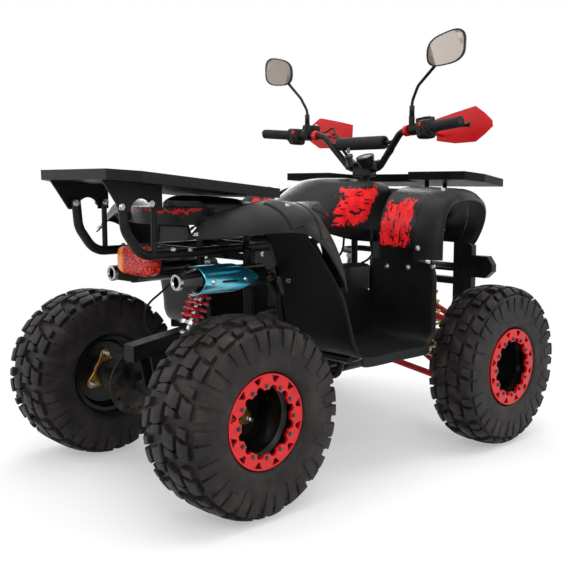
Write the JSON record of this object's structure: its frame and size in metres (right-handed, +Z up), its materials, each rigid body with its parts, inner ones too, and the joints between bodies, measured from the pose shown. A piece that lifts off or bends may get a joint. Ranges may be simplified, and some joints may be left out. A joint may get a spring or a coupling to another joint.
{
  "type": "utility quad bike",
  "caption": "Four-wheeled quad bike with knobby tyres, red bead rings, racks front and rear, hand guards, and steering that turns the front wheels through tie rods.",
  "frame": {"origin": "On the ground under the middle of the overall length and width.", "axes": "+X is the rider's right, +Y is forward, +Z is up."},
  "size_m": [1.004, 1.453, 1.2211],
  "materials": {
    "frame_paint": "satin black powder coat",
    "arm_red": "gloss red paint",
    "ring_red": "bright red gloss",
    "spring_red": "gloss red coil paint",
    "spring_gold": "gold coil paint",
    "shield_teal": "metallic teal",
    "rim_black": "gloss black",
    "black_plastic": "textured black",
    "grey_plastic": "satin charcoal",
    "red_plastic": "bright red",
    "lamp_red": "translucent red lens",
    "lamp_clear": "clear lens",
    "mirror_face": "silvered glass",
    "seat_vinyl": "grained black vinyl",
    "grip_rubber": "ribbed rubber",
    "tyre_rubber": "knobby tread rubber",
    "cast_aluminium": "cast, matt",
    "bright_steel": "machined and plated",
    "chain_steel": "oiled dark steel"
  },
  "bodies": {
    "chassis": {"frame": "frame_paint", "engine": "cast_aluminium", "mufflers": "frame_paint", "exhaust_pipes": "frame_paint", "heat_shield": "shield_teal", "swing_arm": "frame_paint", "rear_caliper": "cast_aluminium", "brake_cable": "grip_rubber", "chain": "chain_steel", "rear_shock": "bright_steel", "rear_spring": "spring_red", "front_shocks": "bright_steel", "front_springs": "spring_gold", "front_arms": "arm_red", "rear_fender": "grey_plastic", "rear_flares": "black_plastic", "seat": "seat_vinyl", "tank_cover": "grey_plastic", "front_fender": "grey_plastic", "front_flares": "black_plastic", "headlamps": "lamp_clear", "foot_wells": "black_plastic", "rear_rack": "black_plastic", "rack_tubes": "frame_paint", "front_rack": "black_plastic", "bumper": "frame_paint", "tail_lamp": "lamp_red"},
    "steering": {"steering_stem": "frame_paint", "handlebar": "frame_paint", "bar_pad": "grip_rubber", "grips": "grip_rubber", "controls": "black_plastic", "hand_guards": "red_plastic", "mirrors": "black_plastic", "mirror_glass": "mirror_face"},
    "knuckle_right": {"knuckle_right": "frame_paint"},
    "knuckle_left": {"knuckle_left": "frame_paint"},
    "tie_rod_right": {"tie_rod_right": "bright_steel"},
    "tie_rod_left": {"tie_rod_left": "bright_steel"},
    "wheel_front_right": {"front_tyre_right": "tyre_rubber", "front_rim_right": "rim_black", "front_ring_right": "ring_red"},
    "wheel_front_left": {"front_tyre_left": "tyre_rubber", "front_rim_left": "rim_black", "front_ring_left": "ring_red"},
    "rear_axle": {"rear_axle": "bright_steel", "rear_tyres": "tyre_rubber", "rear_rims": "rim_black", "rear_rings": "ring_red"}
  },
  "joints": [
    {"name": "steering_turn", "type": "hinge", "parent": "chassis", "child": "steering", "pos_m": [0, 0.41167, 0.4], "axis": [0, -0.2017, 0.9794], "range_deg": [-30, 30]},
    {"name": "knuckle_right_turn", "type": "hinge", "parent": "chassis", "child": "knuckle_right", "pos_m": [0.333, 0.44009, 0.25], "axis": [0, 0, 1], "range_deg": [-30, 30]},
    {"name": "knuckle_left_turn", "type": "hinge", "parent": "chassis", "child": "knuckle_left", "pos_m": [-0.333, 0.44009, 0.25], "axis": [0, 0, 1], "range_deg": [-30, 30]},
    {"name": "tie_rod_right_turn", "type": "hinge", "parent": "knuckle_right", "child": "tie_rod_right", "pos_m": [0.333, 0.38709, 0.25], "axis": [0, 0, 1], "range_deg": [-30, 30]},
    {"name": "tie_rod_left_turn", "type": "hinge", "parent": "knuckle_left", "child": "tie_rod_left", "pos_m": [-0.333, 0.38709, 0.25], "axis": [0, 0, 1], "range_deg": [-30, 30]},
    {"name": "front_right_roll", "type": "hinge", "parent": "knuckle_right", "child": "wheel_front_right", "pos_m": [0.428, 0.44009, 0.24117], "axis": [1, 0, 0], "continuous": true},
    {"name": "front_left_roll", "type": "hinge", "parent": "knuckle_left", "child": "wheel_front_left", "pos_m": [-0.428, 0.44009, 0.24117], "axis": [1, 0, 0], "continuous": true},
    {"name": "rear_roll", "type": "hinge", "parent": "chassis", "child": "rear_axle", "pos_m": [0, -0.48291, 0.23917], "axis": [1, 0, 0], "continuous": true}
  ],
  "couplings": [
    {"joint": "knuckle_right_turn", "follows": "steering_turn", "ratio": 1},
    {"joint": "knuckle_left_turn", "follows": "steering_turn", "ratio": 1},
    {"joint": "tie_rod_right_turn", "follows": "steering_turn", "ratio": -1},
    {"joint": "tie_rod_left_turn", "follows": "steering_turn", "ratio": -1}
  ]
}
